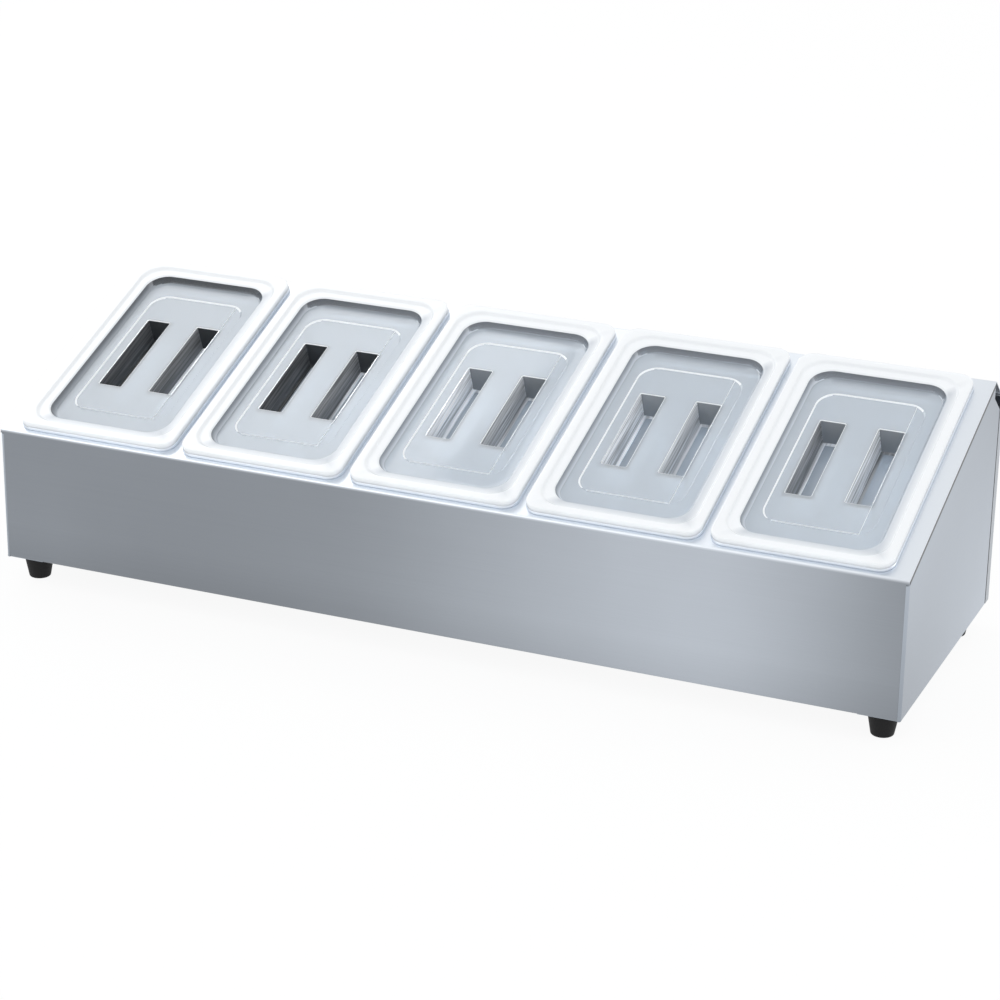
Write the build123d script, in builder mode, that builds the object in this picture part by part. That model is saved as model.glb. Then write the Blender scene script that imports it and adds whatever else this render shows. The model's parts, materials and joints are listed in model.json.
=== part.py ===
"""Sloping countertop stand with five lidded quarter-size gastronorm pans.

Millimetres, +Z up, +Y to the rear. X runs along the front. The origin lies under the
middle of the whole object, in the plane that the feet stand on.
"""

import os
from math import atan2, cos, degrees, radians, sin

from build123d import *

# Pans: the standard quarter size, in the 100 mm depth
pan_count = 5
pan_width = 162.0
pan_length = 265.0
pan_depth = 100.0
pan_steel = 0.8
pan_rim_height = 3.0
pan_rim_width = 12.0
pan_corner_radius = 14.0
pan_mouth_radius = 22.0
pan_shoulder_depth = 24.0
pan_shoulder_step = 2.5
pan_wall_draft = 3.7
pan_wall_radius = 18.0

# Lids: one moulding of even wall
lid_wall = 2.5
lid_inset = 0.5
lid_rim_height = 5.0
lid_rim_width = 8.0
lid_rim_slope = 2.0
lid_ledge_drop = 2.5
lid_ledge_width = 7.5
lid_tray_depth = 7.0
lid_tray_draft = 20.0
lid_tray_radius = 20.0
grip_bar_width = 30.0
pocket_width = 23.5
pocket_length = 102.0
pocket_depth = 25.0
pocket_draft = 2.5
grip_pad_height = 0.5
grip_pad_length = 205.0

# Deck: spaces round and between the pans
rim_gap = 7.0
side_margin = 16.0
front_margin = 4.0
back_margin = 5.0
aperture_clearance = 1.5

# Folded body
sheet = 1.0
front_height = 128.0
slope_angle = 20.0
fold_radius = 2.5
chamfer_run = 20.5
chamfer_drop = 17.0
cheek_height = 16.0
front_flange = 18.0
foot_flange = 38.0
top_flange = 12.0
corner_fold = 3.0
weld_gap = 0.1
corner_relief = 4.0
chamfer_fold_radius = 2.0

# Rear cover and its screws
cover_depth = 14.0
cover_seam = 1.5
cover_lap = 2.2
cover_drop = 1.0
cover_corner_radius = 1.5
screw_flange = 16.0
cover_screw_inset = 9.0
cover_screw_end = 26.0
cover_screw_diameter = 4.0
cover_head_width = 8.0
cover_head_height = 2.2
cover_screw_length = 9.5
screw_clearance = 0.25
round_sides = 12

# Rubber feet and what holds them
foot_height = 24.0
foot_top_diameter = 29.0
foot_base_diameter = 20.0
foot_side_inset = 21.0
foot_end_inset = 23.0
foot_screw_diameter = 5.0
foot_washer_diameter = 12.0
foot_washer_height = 1.0
foot_nut_width = 8.0
foot_nut_height = 4.0
screw_spare = 1.5

# Worked out from the sizes above
pan_pitch = pan_width + rim_gap
overall_width = (pan_count - 1) * pan_pitch + pan_width + 2 * side_margin
slope_length = front_margin + pan_length + back_margin
slope_run = slope_length * cos(radians(slope_angle))
slope_rise = slope_length * sin(radians(slope_angle))
body_depth = slope_run + chamfer_run
overall_depth = body_depth + cover_depth + cover_head_height
half_width = overall_width / 2
front_y = -overall_depth / 2
seam_y = front_y + body_depth
back_y = seam_y + cover_depth
ridge_y = front_y + slope_run
base_z = foot_height
fold_z = base_z + front_height
ridge_z = fold_z + slope_rise
chamfer_z = ridge_z - chamfer_drop
mouth_width = pan_width - 2 * pan_rim_width
mouth_length = pan_length - 2 * pan_rim_width
pan_centres = [(i - (pan_count - 1) / 2) * pan_pitch for i in range(pan_count)]
pan_middle = front_margin + pan_length / 2
normal_dir = (0, -sin(radians(slope_angle)), cos(radians(slope_angle)))
seam_radius = 0.8 * sheet
deck_plane = Plane(origin=(0, front_y, fold_z), x_dir=(1, 0, 0), z_dir=normal_dir)

os.makedirs("parts", exist_ok=True)


def on_deck(x, along, height=0.0):
    """Plane parallel to the deck: x across, along the slope from the fold, height above."""
    origin = deck_plane.from_local_coords(Vector(x, along, height))
    return Plane(origin=origin, x_dir=deck_plane.x_dir, z_dir=deck_plane.z_dir)


def save(builder, label):
    """Name a finished piece and write it out."""
    builder.part.label = label
    export_step(builder.part, f"parts/{label}.step")


def place_all(pattern, places):
    """One part made of copies of the pattern."""
    with BuildPart() as group:
        for place in places:
            with Locations(place):
                add(pattern)
    return group


# Front panel and deck: one sheet, folded under the front, along the top of the front, at the
# ridge and behind it, where a joggle and a tab carry the rear cover
ledge_z = chamfer_z - cover_lap
tab_y = back_y - sheet
flange_edge = half_width - cover_lap - screw_flange
deck_path = [
    (front_y + front_flange, base_z),
    (front_y, base_z),
    (front_y, fold_z),
    (ridge_y, ridge_z),
    (seam_y, chamfer_z),
    (seam_y, ledge_z),
    (tab_y, ledge_z),
    (tab_y, ledge_z - screw_flange),
]
deck_radii = [fold_radius, fold_radius, fold_radius, chamfer_fold_radius, 0, cover_corner_radius]
aperture_width = mouth_width + 2 * (pan_steel + aperture_clearance)
aperture_length = mouth_length + 2 * (pan_steel + aperture_clearance)
aperture_radius = pan_mouth_radius + pan_steel + aperture_clearance

cover_screw_x = half_width - cover_lap - cover_screw_inset
cheek_z = chamfer_z - cheek_height
side_screws = [
    (side * cover_screw_x, 0, z)
    for side in (-1, 1)
    for z in (base_z + cover_screw_end, cheek_z - cover_screw_end)
]
top_screws = [(side * overall_width / 6, 0, ledge_z - cover_screw_inset) for side in (-1, 1)]
cover_screw_hole = cover_screw_diameter / 2 + screw_clearance

with BuildPart() as front_and_deck:
    with BuildSketch(Plane.YZ):
        with BuildLine():
            FilletPolyline(*deck_path, radius=deck_radii)
            offset(amount=sheet, side=Side.RIGHT)
        make_face()
    extrude(amount=half_width, both=True)
    with BuildSketch(*[on_deck(x, pan_middle) for x in pan_centres]):
        RectangleRounded(aperture_width, aperture_length, aperture_radius)
    extrude(amount=2 * sheet, both=True, mode=Mode.SUBTRACT)
    for side in (-1, 1):
        # The side panels wrap the front corners up to a small relief under the fold
        with Locations((side * (half_width + weld_gap), front_y, base_z)):
            Box(
                2 * (corner_fold + 2 * weld_gap),
                2 * (front_flange + weld_gap),
                front_height - corner_relief,
                align=(Align.CENTER, Align.CENTER, Align.MIN),
                mode=Mode.SUBTRACT,
            )
        # The front flange stops beside the flanges that carry the feet
        with Locations((side * half_width, front_y + sheet, base_z)):
            Box(
                2 * (foot_flange + weld_gap),
                front_flange,
                fold_radius,
                align=(Align.CENTER, Align.MIN, Align.MIN),
                mode=Mode.SUBTRACT,
            )
        # The joggle and the tab stop beside the screw flanges of the side panels
        with Locations((side * half_width, seam_y, chamfer_z)):
            Box(
                2 * (half_width - flange_edge + weld_gap),
                cover_depth,
                cover_lap + screw_flange,
                align=(Align.CENTER, Align.MIN, Align.MAX),
                mode=Mode.SUBTRACT,
            )
    with BuildSketch(*[Plane(origin=(x, tab_y, z), z_dir=(0, 1, 0)) for x, _, z in top_screws]):
        RegularPolygon(cover_screw_hole, round_sides)
    extrude(amount=2 * sheet, both=True, mode=Mode.SUBTRACT)
save(front_and_deck, "front_and_deck")


# Side panels: wrapped round the front corners, with flanges inwards under the deck, at the
# feet and, past a joggle that takes the edge of the cover, at the back
foot_x = half_width - foot_side_inset
foot_front_y = front_y + foot_end_inset
foot_rear_y = seam_y - foot_end_inset
foot_screw_hole = foot_screw_diameter / 2 + screw_clearance
side_path = [
    (half_width - corner_fold, front_y),
    (half_width, front_y),
    (half_width, seam_y),
    (half_width - cover_lap, seam_y),
    (half_width - cover_lap, tab_y),
    (flange_edge, tab_y),
]
side_radii = [fold_radius, cover_corner_radius / 2, 0, cover_corner_radius]
deck_underside = [
    on_deck(0, along, -sheet).origin for along in (fold_radius, slope_length - fold_radius)
]
above_side = [
    (front_y - sheet, fold_z - corner_relief),
    (deck_underside[0].Y, fold_z - corner_relief),
    (deck_underside[0].Y, deck_underside[0].Z),
    (deck_underside[1].Y, deck_underside[1].Z),
    (deck_underside[1].Y, ridge_z - cheek_height),
    (seam_y, cheek_z),
    (back_y, cheek_z),
    (back_y, ridge_z + cheek_height),
    (front_y - sheet, ridge_z + cheek_height),
]
with BuildPart() as side_panel_right:
    with BuildSketch(Plane.XY.offset(base_z)):
        with BuildLine():
            FilletPolyline(*side_path, radius=side_radii)
            offset(amount=sheet, side=Side.LEFT)
        make_face()
    extrude(amount=ridge_z - base_z)
    with BuildSketch(Plane.YZ.offset(flange_edge - sheet)):
        with BuildLine():
            Polyline(*above_side, close=True)
        make_face()
    extrude(amount=screw_flange + cover_lap + 2 * sheet, mode=Mode.SUBTRACT)
    # The screw flange and the joggle stand clear of the floor of the cover
    with Locations((half_width, seam_y, base_z)):
        Box(
            2 * (half_width - flange_edge + sheet),
            cover_depth,
            cover_lap,
            align=(Align.CENTER, Align.MIN, Align.MIN),
            mode=Mode.SUBTRACT,
        )
    with Locations((half_width, front_y + sheet + weld_gap, base_z)):
        Box(
            foot_flange,
            body_depth - sheet - weld_gap,
            sheet,
            align=(Align.MAX, Align.MIN, Align.MIN),
        )
    with BuildSketch(on_deck(half_width - top_flange / 2, slope_length / 2, -2 * sheet)):
        Rectangle(top_flange, slope_length - 2 * fold_radius)
    extrude(amount=sheet)
    long_edges = side_panel_right.edges().filter_by(GeomType.LINE)
    outer_edges = long_edges.filter_by(lambda edge: abs(edge.center().X - half_width) < sheet / 10)
    fillet(
        [
            outer_edges.filter_by(Axis.Y).sort_by(Axis.Z)[0],
            outer_edges.filter_by(Axis(deck_plane.origin, deck_plane.y_dir)).sort_by(Axis.Z)[-1],
        ],
        radius=seam_radius,
    )
    with BuildSketch(*[Plane(origin=(foot_x, y, base_z)) for y in (foot_front_y, foot_rear_y)]):
        RegularPolygon(foot_screw_hole, round_sides)
    extrude(amount=2 * sheet, both=True, mode=Mode.SUBTRACT)
    with BuildSketch(
        *[Plane(origin=(x, tab_y, z), z_dir=(0, 1, 0)) for x, _, z in side_screws if x > 0]
    ):
        RegularPolygon(cover_screw_hole, round_sides)
    extrude(amount=2 * sheet, both=True, mode=Mode.SUBTRACT)
save(side_panel_right, "side_panel_right")

with BuildPart() as side_panel_left:
    add(side_panel_right.part)
    mirror(about=Plane.YZ, mode=Mode.REPLACE)
save(side_panel_left, "side_panel_left")


# Rear cover: a shallow tray that closes the back
cover_y = seam_y + cover_seam
with BuildPart() as rear_cover:
    with BuildSketch(Plane.XZ.offset(-cover_y)):
        with Locations((0, (base_z + chamfer_z - cover_drop) / 2)):
            Rectangle(overall_width, chamfer_z - cover_drop - base_z)
    extrude(amount=-(back_y - cover_y))
    fillet(rear_cover.faces().sort_by(Axis.Y)[-1].edges(), radius=cover_corner_radius)
    offset(amount=-sheet, openings=rear_cover.faces().sort_by(Axis.Y)[0])
    with BuildSketch(
        *[Plane(origin=(x, back_y, z), z_dir=(0, 1, 0)) for x, _, z in side_screws + top_screws]
    ):
        RegularPolygon(cover_screw_hole, round_sides)
    extrude(amount=2 * sheet, both=True, mode=Mode.SUBTRACT)
save(rear_cover, "rear_cover")


# Hexagon screws of the cover, driven into the flanges. What is small and round has few sides
cover_seat = Plane(origin=(0, back_y, 0), x_dir=(1, 0, 0), z_dir=(0, 1, 0))
with BuildPart() as cover_screw:
    with BuildSketch(cover_seat):
        RegularPolygon(cover_head_width / 2, 6, major_radius=False)
    extrude(amount=cover_head_height)
    with BuildSketch(cover_seat):
        RegularPolygon(cover_screw_diameter / 2, round_sides)
    extrude(amount=-cover_screw_length)
save(place_all(cover_screw.part, side_screws + top_screws), "cover_screws")


# Feet: tapered rubber buffers, each with a screw moulded in that stands through the flange
with BuildPart() as foot:
    Cone(
        foot_base_diameter / 2,
        foot_top_diameter / 2,
        foot_height,
        align=(Align.CENTER, Align.CENTER, Align.MIN),
    )
foot_rows = {
    row: [(side * foot_x, y, 0) for side in (-1, 1)]
    for row, y in (("front", foot_front_y), ("rear", foot_rear_y))
}
foot_places = foot_rows["front"] + foot_rows["rear"]
for row, places in foot_rows.items():
    save(place_all(foot.part, places), f"{row}_feet")

washer_z = foot_height + sheet
nut_z = washer_z + foot_washer_height
with BuildPart() as foot_screw:
    with BuildSketch(Plane.XY.offset(foot_height)):
        RegularPolygon(foot_screw_diameter / 2, round_sides)
    extrude(amount=nut_z + foot_nut_height + screw_spare - foot_height)
with BuildPart() as foot_washer:
    with BuildSketch(Plane.XY.offset(washer_z)):
        RegularPolygon(foot_washer_diameter / 2, round_sides)
        RegularPolygon(foot_screw_hole, round_sides, mode=Mode.SUBTRACT)
    extrude(amount=foot_washer_height)
with BuildPart() as foot_nut:
    with BuildSketch(Plane.XY.offset(nut_z)):
        RegularPolygon(foot_nut_width / 2, 6, major_radius=False)
        RegularPolygon(foot_screw_hole, round_sides, mode=Mode.SUBTRACT)
    extrude(amount=foot_nut_height)
save(place_all(foot_screw.part, foot_places), "foot_screws")
save(place_all(foot_nut.part, foot_places), "foot_nuts")
save(place_all(foot_washer.part, foot_places), "foot_washers")


def drafted_block(middle, width, length, depth, draft_angle, radius=0):
    """Block that goes down from a level plane and narrows, with its four corners rounded."""
    with BuildPart() as block:
        with BuildSketch(middle):
            Rectangle(width, length)
        extrude(amount=-depth)
        sides = block.faces().filter_by(lambda face: abs(face.normal_at().dot(middle.z_dir)) < 0.5)
        draft(sides, neutral_plane=middle, angle=-draft_angle)
        if radius:
            corners = block.edges().filter_by(
                lambda edge: abs((edge @ 1 - edge @ 0).dot(middle.z_dir)) > depth / 2
            )
            fillet(corners, radius=radius)
    return block.part


def drawn_body(skin):
    """Body of a pan below its rim: its inside form, or its outside form with a skin of steel."""
    shoulder = on_deck(0, pan_middle, pan_rim_height - pan_shoulder_depth - skin)
    with BuildPart() as body:
        with BuildSketch(shoulder):
            RectangleRounded(
                mouth_width + 2 * skin, mouth_length + 2 * skin, pan_mouth_radius + skin
            )
        extrude(amount=pan_shoulder_depth + (0 if skin else pan_steel))
        add(
            drafted_block(
                shoulder,
                mouth_width + 2 * (skin - pan_shoulder_step),
                mouth_length + 2 * (skin - pan_shoulder_step),
                pan_depth - pan_shoulder_depth - pan_steel,
                pan_wall_draft,
                pan_wall_radius + skin,
            )
        )
    return body.part


# Pan: drawn from sheet, with a turned-down rim and a shoulder on which empty pans stack
with BuildPart() as pan:
    with BuildSketch(on_deck(0, pan_middle)):
        RectangleRounded(pan_width, pan_length, pan_corner_radius)
    extrude(amount=pan_rim_height)
    with BuildSketch(on_deck(0, pan_middle)):
        RectangleRounded(
            pan_width - 2 * pan_steel, pan_length - 2 * pan_steel, pan_corner_radius - pan_steel
        )
    extrude(amount=pan_rim_height - pan_steel, mode=Mode.SUBTRACT)
    add(drawn_body(pan_steel))
    add(drawn_body(0), mode=Mode.SUBTRACT)


# Lid: one clear moulding. A raised rim, a ledge inside it and a sunk tray, with two deep
# pockets for the fingers on either side of a grip bar
lid_top = pan_rim_height + lid_rim_height
lid_ledge = lid_top - lid_ledge_drop
lid_floor = lid_ledge - lid_tray_depth
lid_ledge_inset = lid_inset + lid_rim_width + lid_rim_slope
lid_tray_inset = lid_ledge_inset + lid_ledge_width
pocket_spread = grip_bar_width + pocket_width
rim_slope_angle = degrees(atan2(lid_rim_slope, lid_ledge_drop))


def lid_block(height, inset, depth, draft_angle, radius):
    """Narrowing block whose upper face is a level of the lid, inset from the pan's edge."""
    return drafted_block(
        on_deck(0, pan_middle, height),
        pan_width - 2 * inset,
        pan_length - 2 * inset,
        depth,
        draft_angle,
        radius,
    )


def pocket_block(side, height, skin):
    """Inside form of one finger pocket, or its outside form with a skin of moulded wall."""
    return drafted_block(
        on_deck(side * pocket_spread / 2, pan_middle, height),
        pocket_width + 2 * skin,
        pocket_length + 2 * skin,
        height - lid_floor + pocket_depth + skin,
        pocket_draft,
    )


with BuildPart() as lid:
    with BuildSketch(on_deck(0, pan_middle, pan_rim_height)):
        RectangleRounded(
            pan_width - 2 * lid_inset, pan_length - 2 * lid_inset, pan_corner_radius - lid_inset
        )
    extrude(amount=lid_rim_height)
    add(
        lid_block(
            lid_ledge,
            lid_tray_inset - lid_wall,
            lid_tray_depth + lid_wall,
            lid_tray_draft,
            lid_tray_radius + lid_wall,
        )
    )
    for side in (-1, 1):
        add(pocket_block(side, lid_floor - lid_wall / 2, lid_wall))
    add(
        lid_block(
            lid_top,
            lid_inset + lid_rim_width,
            lid_ledge_drop,
            rim_slope_angle,
            lid_tray_radius + lid_rim_slope,
        ),
        mode=Mode.SUBTRACT,
    )
    add(
        lid_block(lid_ledge, lid_tray_inset, lid_tray_depth, lid_tray_draft, lid_tray_radius),
        mode=Mode.SUBTRACT,
    )
    with BuildSketch(on_deck(0, pan_middle, lid_floor)):
        Rectangle(pocket_spread + pocket_width, grip_pad_length)
    extrude(amount=grip_pad_height)
    for side in (-1, 1):
        add(pocket_block(side, lid_floor + grip_pad_height, 0), mode=Mode.SUBTRACT)

for number, x in enumerate(pan_centres, 1):
    save(place_all(pan.part, [(x, 0, 0)]), f"pan_{number}")
    save(place_all(lid.part, [(x, 0, 0)]), f"lid_{number}")
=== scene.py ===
"""Countertop stand with five lidded gastronorm pans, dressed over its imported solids.

Metres, +Z up, +Y to the rear. The sizes in the property groups are millimetres, as on a
workshop drawing, and are turned into metres where the meshes are made.
"""

import collections
import functools
import json
import math

import bmesh
import bpy
from bpy.props import FloatProperty, FloatVectorProperty, IntProperty, PointerProperty
from bpy.types import NodeSocket, Operator, Panel, PropertyGroup
from mathutils import Matrix, Vector
from mathutils.geometry import tessellate_polygon

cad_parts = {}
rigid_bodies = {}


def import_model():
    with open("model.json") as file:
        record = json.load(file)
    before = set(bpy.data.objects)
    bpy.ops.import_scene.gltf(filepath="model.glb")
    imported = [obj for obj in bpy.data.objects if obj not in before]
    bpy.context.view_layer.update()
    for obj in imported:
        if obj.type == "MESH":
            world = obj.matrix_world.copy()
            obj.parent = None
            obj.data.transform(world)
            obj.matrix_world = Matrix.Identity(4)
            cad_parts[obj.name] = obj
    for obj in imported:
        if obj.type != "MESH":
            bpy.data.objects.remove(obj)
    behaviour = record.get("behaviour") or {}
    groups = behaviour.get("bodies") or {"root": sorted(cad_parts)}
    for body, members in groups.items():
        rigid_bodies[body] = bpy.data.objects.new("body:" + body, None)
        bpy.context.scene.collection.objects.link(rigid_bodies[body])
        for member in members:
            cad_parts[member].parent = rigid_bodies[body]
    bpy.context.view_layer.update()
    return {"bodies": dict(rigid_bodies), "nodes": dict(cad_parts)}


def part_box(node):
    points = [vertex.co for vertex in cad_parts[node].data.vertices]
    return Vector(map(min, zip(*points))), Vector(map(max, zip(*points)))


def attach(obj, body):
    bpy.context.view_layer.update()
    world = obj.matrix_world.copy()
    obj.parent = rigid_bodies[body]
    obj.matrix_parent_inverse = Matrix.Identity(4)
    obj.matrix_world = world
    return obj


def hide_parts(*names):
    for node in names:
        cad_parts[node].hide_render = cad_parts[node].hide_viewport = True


bl_info = {
    "name": "Gastronorm Pan Stand",
    "version": (1, 0, 0),
    "blender": (4, 5, 0),
    "location": "View3D > Sidebar > Pan Stand",
    "description": "Dresses a countertop stand with five pans, clear lids, feet and fasteners",
    "category": "Object",
}

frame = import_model()
MM = 0.001
FRONT_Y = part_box("front_and_deck")[0].y / MM
PAN_BODIES = sorted(body for body in frame["bodies"] if body.startswith("pan_"))
LID_BODIES = sorted(body for body in frame["bodies"] if body.startswith("lid_"))

# Tones are stops of place and level. Places are in metres, and x is 0 in the middle.
# Painted light and shade on the front and deck along x, and on the front from the foot up to the
# fold
FRONT_PAINTED_LIGHT = (
    (-0.435, 0.55),
    (-0.15, 0.54),
    (-0.02, 0.62),
    (0.16, 0.97),
    (0.27, 1.04),
    (0.36, 0.80),
    (0.435, 0.55),
)
DECK_PAINTED_SHADE = ((-0.435, 1.0), (0.34, 1.0), (0.4, 0.92), (0.435, 0.87))
FOOT_PAINTED_SHADE = ((0.02, 0.88), (0.06, 1.0))
FOLD_BLEND = 3 * MM
# The side panels gain this much light per square metre of the way back times the way down
SIDE_TWIST = 15.0
SIDE_TWIST_HEIGHT = 0.13
# Their shadow under the edge of the deck, by the height above it, and before the cover, by y
SIDE_SEAM = ((-0.01, 1.0), (-0.0052, 1.0), (-0.0036, 0.12), (-0.0009, 0.12), (0.001, 0.5))
SIDE_BACK = ((0.1, 1.0), (0.1288, 1.0), (0.1298, 0.35), (0.1312, 0.2), (0.16, 0.5))
# Painted shade inside a pan by depth, 0 at the rim and 1 at the shoulder, and of all pans along x
PAN_BAND_SHADE = ((0.0, 0.5), (0.05, 0.1), (0.4, 0.3), (0.9, 0.5), (1.1, 0.55), (2, 0.8), (4, 0.9))
# Painted highlight on the shoulder, by the same depth
PAN_SHOULDER_HIGHLIGHT = ((0.93, 0.0), (0.97, 1.0), (1.02, 1.0), (1.05, 0.0))
PAN_TONE = ((-0.43, 0.7), (-0.1, 0.95), (0.1, 1.15), (0.43, 1.25))
# Colour of that painted highlight
SHOULDER_HIGHLIGHT_COLOUR = (0.97, 0.98, 1, 1)
# Painted shade on the outside of a pan, by the height above the deck
PAN_OUTSIDE_SHADE = ((-0.1, 0.6), (-0.03, 0.7), (-0.004, 0.75), (0.0, 1.0), (0.01, 1.0))
# Painted shade on the back and left walls of the trays along x, and on both by the height above the
# deck
BACK_WALL_SHADE = ((-0.43, 0.28), (-0.3, 0.36), (-0.17, 0.85), (0.0, 1.0), (0.17, 1.25), (0.43, 1.2))
LEFT_WALL_SHADE = ((-0.43, 0.5), (-0.34, 0.6), (-0.17, 0.95), (0.0, 1.45), (0.17, 1.65), (0.43, 2.0))
WALL_SHADE_BY_HEIGHT = ((-0.0015, 1.8), (0.0005, 1.5), (0.0025, 1.0), (0.0055, 0.8))
# Painted shade on the tray floors along x, and the colour of the painted shadow at the foot of
# their back and left walls
TRAY_PAINTED_SHADE = ((-0.43, 0.86), (-0.2, 0.96), (0.0, 1.0), (0.43, 0.98))
TRAY_SHADOW = (0.42, 0.46, 0.51, 1)
# Share of that shadow at the left wall, lid by lid
LEFT_SHADOW = (0.6, 0.5, 0.0, 0.0, 0.0)
# Painted shade on the ledge where it meets the right and front edges of the tray
LEDGE_SHADE = (0.6, 0.64, 0.69, 1.0)
# Reach of that colour, in millimetres: down the rounding below the ledge, round the corners
# where it stops, and out past the ledge. Reach of the shadow: up the wall and out from its foot
LEDGE_ROUNDING, LEDGE_FADE, LEDGE_LEAD = 2.1, 12, 2
SHADOW_HEIGHT, SHADOW_WIDTH = 2.5, 4
# Sides of the step and of the pad: how far they run, in millimetres, and the corners of the pad
STEP_RUN, PAD_RUN, PAD_RADIUS = 1.2, 0.4, 1.0
# Where two finishes meet, in millimetres: past the edge of the tray, above its floor, under the
# top of the pad, past the crown on the underside, and before the mouth of a pan
TRAY_SEAM, FLOOR_SEAM, PAD_SEAM, CROWN_SEAM, MOUTH_SEAM = 0.5, 0.2, 0.8, 1, 2.6
# A face looks along an axis by this share of its normal: fully, partly or a little
FACING, PARTLY, LITTLE = 0.7, 0.4, 0.3
# The roughness of clear plastic varies between these shares of it
ROUGHNESS_SPAN = (0.7, 1.3)
# Most of a noise lies between these levels
NOISE_SPAN = (0.3, 0.7)
# Brushed grain: shade of its lines for a depth of 1, and tones of the clouds in the steel
LINE_SHADE = -0.35
CLOUD_TONES = (0.96, 1.04)
# Flow streaks in the pockets: spread along each axis, then noise levels and tones
STREAK_SCALE = (260, 12, 420)
STREAK_LEVELS = (0.35, 0.65, -1.0, 1.0)
# How far a shank reaches into its head, in millimetres
SHANK_BITE = 0.5
# Length of the drill that makes a bore, in millimetres
DRILL_LENGTH = 100
# Sides of a shank and of a bore, rings of a threaded shank and rings of a plain block
SHANK_SIDES, SHANK_RINGS, BLOCK_RINGS = 32, 120, 24
# Edges that are sharper than this show as edges on the turned parts
SHARP_ANGLE = math.radians(40)
# Lamps of the stage: name, place, aim, width in metres and watts
LAMPS = (
    ("Overhead", (-2.0, 1.1, 2.1), (0, 0, 0.2), 1.8, 16.0),
    ("Front", (-1.6, -2.4, 1.6), (0, 0, 0.1), 1.6, 9.0),
    ("Right", (2.4, 0.2, 1.3), (0, 0, 0.1), 1.4, 7.0),
)
# The floor: half its width in metres, and the share of plain white in what shows of it
FLOOR_REACH = 30.0
FLOOR_WHITE = 0.92
# Level of the world where it only lights. It is 1 where it is seen
WORLD_LIGHT = 0.95
# Finishes of a lid, as the numbers of its material slots. STEP stands for two of them until
# each face has its own
TRAY, RIM, POCKET, POCKET_END, POCKET_SIDE, POCKET_FLOOR = range(6)
WALL, BACK_WALL, EDGE, LEFT_WALL, STEP = range(6, 11)
# Width and spacing of the columns and rows of a node tree
NODE_COLUMN, NODE_ROW = 200, 180


def millimetres(name, description, default):
    """A length in millimetres, as a property."""
    return FloatProperty(name=name, description=description, default=default, precision=2)


def degrees(name, description, default):
    """An angle, kept in radians and shown in degrees."""
    return FloatProperty(
        name=name, description=description, default=math.radians(default), subtype="ANGLE"
    )


def colour(name, description, default):
    """A colour with its picker."""
    return FloatVectorProperty(
        name=name, description=description, default=default, size=3, subtype="COLOR", min=0, max=1
    )


def share(name, description, default):
    """A number from 0 to 1, with its slider."""
    return FloatProperty(
        name=name, description=description, default=default, min=0, max=1, subtype="FACTOR"
    )


def lights(name, description, default):
    """Levels from 0 to 1, from left to right along the deck."""
    return FloatVectorProperty(
        name=name, description=description, default=default, size=len(default), min=0, max=1
    )


class DeckSettings(PropertyGroup):
    """Where the sloping deck lies and how the pans stand along it."""

    slope: degrees("Slope", "Angle of the deck above the level", 20.0)
    fold_height: millimetres("Fold height", "Height of the fold along the front", 152.0)
    front_margin: millimetres("Front margin", "Deck between the fold and the pans", 4.0)
    pan_pitch: millimetres("Pan pitch", "Distance from pan to pan", 169.0)


class PanSettings(PropertyGroup):
    """Sizes of one drawn steel pan."""

    width: millimetres("Width", "Outside width of the rim", 162.0)
    length: millimetres("Length", "Outside length of the rim", 265.0)
    depth: millimetres("Depth", "Height from the rim to the underside", 100.0)
    steel: millimetres("Steel", "Thickness of the sheet", 0.8)
    rim_width: millimetres("Rim width", "Flat rim round the mouth", 12.0)
    rim_height: millimetres("Rim height", "Turned-down edge of the rim", 3.0)
    rim_radius: millimetres("Rim radius", "Corner radius of the rim", 14.0)
    mouth_radius: millimetres("Mouth radius", "Corner radius of the mouth", 22.0)
    shoulder_depth: millimetres("Shoulder depth", "Stacking shoulder below the rim", 24.0)
    shoulder_step: millimetres("Shoulder step", "Width of the stacking shoulder", 2.5)
    wall_draft: degrees("Wall draft", "Lean of the walls below the shoulder", 3.7)
    wall_radius: millimetres("Wall radius", "Corner radius below the shoulder", 18.0)
    floor_radius: millimetres("Floor radius", "Rounding between walls and floor", 7.0)


class LidSettings(PropertyGroup):
    """Sizes of one clear lid."""

    wall: millimetres("Wall", "Thickness of the moulding", 2.5)
    inset: millimetres("Inset", "Edge of the lid inside the edge of the pan", 0.5)
    rim_height: millimetres("Rim height", "Raised rim above the pan", 5.0)
    rim_width: millimetres("Rim width", "Flat crown of the rim", 8.0)
    rim_slope: millimetres("Rim slope", "Run of the slope inside the crown", 2.0)
    ledge_drop: millimetres("Ledge drop", "Ledge below the crown", 2.5)
    ledge_width: millimetres("Ledge width", "Flat ledge round the tray", 7.5)
    tray_depth: millimetres("Tray depth", "Tray floor below the ledge", 7.0)
    tray_draft: degrees("Tray draft", "Lean of the tray walls", 20.0)
    tray_radius: millimetres("Tray radius", "Corner radius of the tray", 20.0)
    grip_width: millimetres("Grip width", "Bar between the two pockets", 30.0)
    pocket_width: millimetres("Pocket width", "Mouth of a finger pocket", 23.5)
    pocket_length: millimetres("Pocket length", "Length of a finger pocket", 102.0)
    pocket_depth: millimetres("Pocket depth", "Pocket floor below the tray floor", 25.0)
    pocket_draft: degrees("Pocket draft", "Lean of the pocket walls", 2.5)
    pocket_radius: millimetres("Pocket radius", "Corner radius of a pocket", 1.5)
    step_depth: millimetres("Step depth", "Sunk middle of the tray floor", 1.0)
    step_side: millimetres("Step side", "Tray floor beside the sunk middle", 10.5)
    step_end: millimetres("Step end", "Tray floor before and behind the sunk middle", 21.0)
    step_radius: millimetres("Step radius", "Corner radius of the sunk middle", 18.0)
    pad_height: millimetres("Pad height", "Raised pad that the pockets open through", 1.0)
    pad_length: millimetres("Pad length", "Length of the raised pad", 176.0)


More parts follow.
